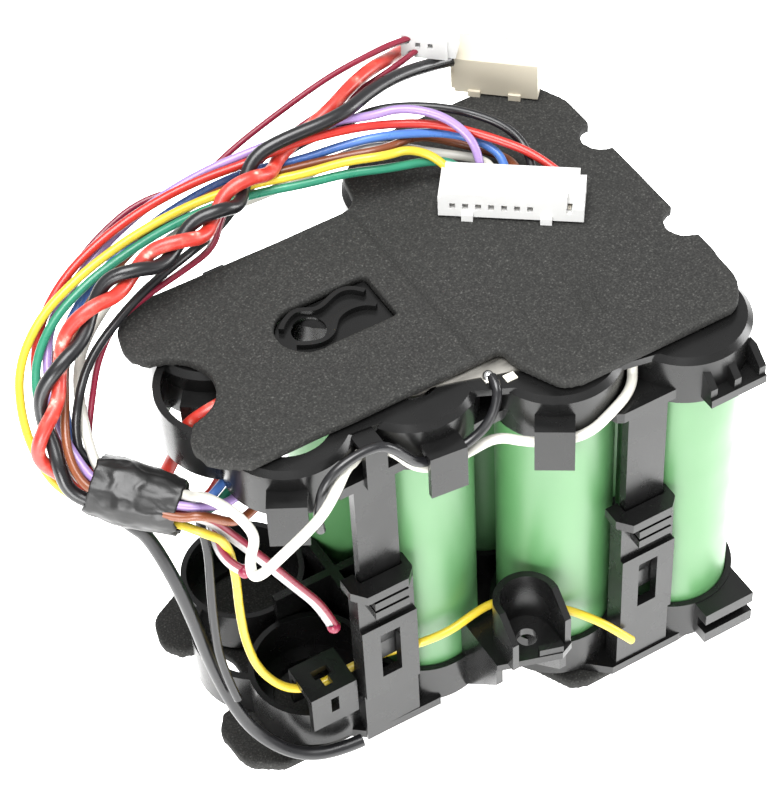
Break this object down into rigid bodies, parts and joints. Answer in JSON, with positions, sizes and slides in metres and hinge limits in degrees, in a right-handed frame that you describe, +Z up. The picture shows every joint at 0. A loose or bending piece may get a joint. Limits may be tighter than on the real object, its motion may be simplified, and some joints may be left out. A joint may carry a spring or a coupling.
{
  "type": "lithium-ion battery pack",
  "caption": "Cylindrical cells upright between two clipped black end holders, with foam pads, nickel strips, a taped wire bundle and plug-in connectors.",
  "frame": {"origin": "centre of the lower foam pad's bounding rectangle on the surface that the pack stands on, measured without the wires and connectors", "axes": "+X along the pack's length towards its wide end, +Y away from the clip straps, +Z up along the cells"},
  "size_m": [0.1051, 0.0803, 0.0874],
  "materials": {
    "bead_epoxy": "dipped resin bead",
    "cell_steel": "nickel-plated, satin",
    "connector_cream": "moulded nylon",
    "connector_white": "moulded nylon",
    "contact_tin": "tin-plated contacts",
    "foam": "closed-cell foam, matt, speckled",
    "holder_plastic": "moulded, semi-gloss black",
    "insulating_paper": "fibre paper, matt",
    "nickel": "rolled nickel strip",
    "sleeve_film": "thin shrink film, satin",
    "solder": "bright solder",
    "tape": "soft vinyl tape, wrinkled",
    "wire_black": "extruded insulation, glossy",
    "wire_blue": "extruded insulation, glossy",
    "wire_brown": "extruded insulation, glossy",
    "wire_green": "extruded insulation, glossy",
    "wire_purple": "extruded insulation, glossy",
    "wire_red": "extruded insulation, glossy",
    "wire_ribbon": "clear twin lead with one dark red core",
    "wire_white": "extruded insulation, glossy",
    "wire_yellow": "extruded insulation, glossy"
  },
  "bodies": {
    "root": {"bottom_foam_pad": "foam", "cell_can_1": "cell_steel", "cell_can_2": "cell_steel", "cell_can_3": "cell_steel", "cell_can_4": "cell_steel", "cell_can_5": "cell_steel", "cell_can_6": "cell_steel", "cell_can_7": "cell_steel", "cell_sleeve_1": "sleeve_film", "cell_sleeve_2": "sleeve_film", "cell_sleeve_3": "sleeve_film", "cell_sleeve_4": "sleeve_film", "cell_sleeve_5": "sleeve_film", "cell_sleeve_6": "sleeve_film", "cell_sleeve_7": "sleeve_film", "insulating_paper": "insulating_paper", "insulator_rings": "insulating_paper", "lower_holder": "holder_plastic", "nickel_link_1_2": "nickel", "nickel_link_2_3": "nickel", "nickel_link_3_4": "nickel", "nickel_link_4_5": "nickel", "nickel_link_5_6": "nickel", "nickel_link_6_7": "nickel", "nickel_terminal_negative": "nickel", "nickel_terminal_positive": "nickel", "power_connector": "connector_cream", "screw_tower": "holder_plastic", "sense_connector": "connector_white", "sense_contacts": "contact_tin", "tab_solder": "solder", "tape_wrap": "tape", "thermistor_bead_1": "bead_epoxy", "thermistor_bead_2": "bead_epoxy", "thermistor_connector": "connector_white", "top_foam_pad": "foam", "upper_holder": "holder_plastic", "wire_jumper": "wire_black", "wire_power_black": "wire_black", "wire_power_red": "wire_red", "wire_sense_black": "wire_black", "wire_sense_blue": "wire_blue", "wire_sense_brown": "wire_brown", "wire_sense_green": "wire_green", "wire_sense_purple": "wire_purple", "wire_sense_red": "wire_red", "wire_sense_white": "wire_white", "wire_sense_yellow": "wire_yellow", "wire_thermistor_1": "wire_ribbon", "wire_thermistor_2": "wire_ribbon"}
  },
  "joints": []
}
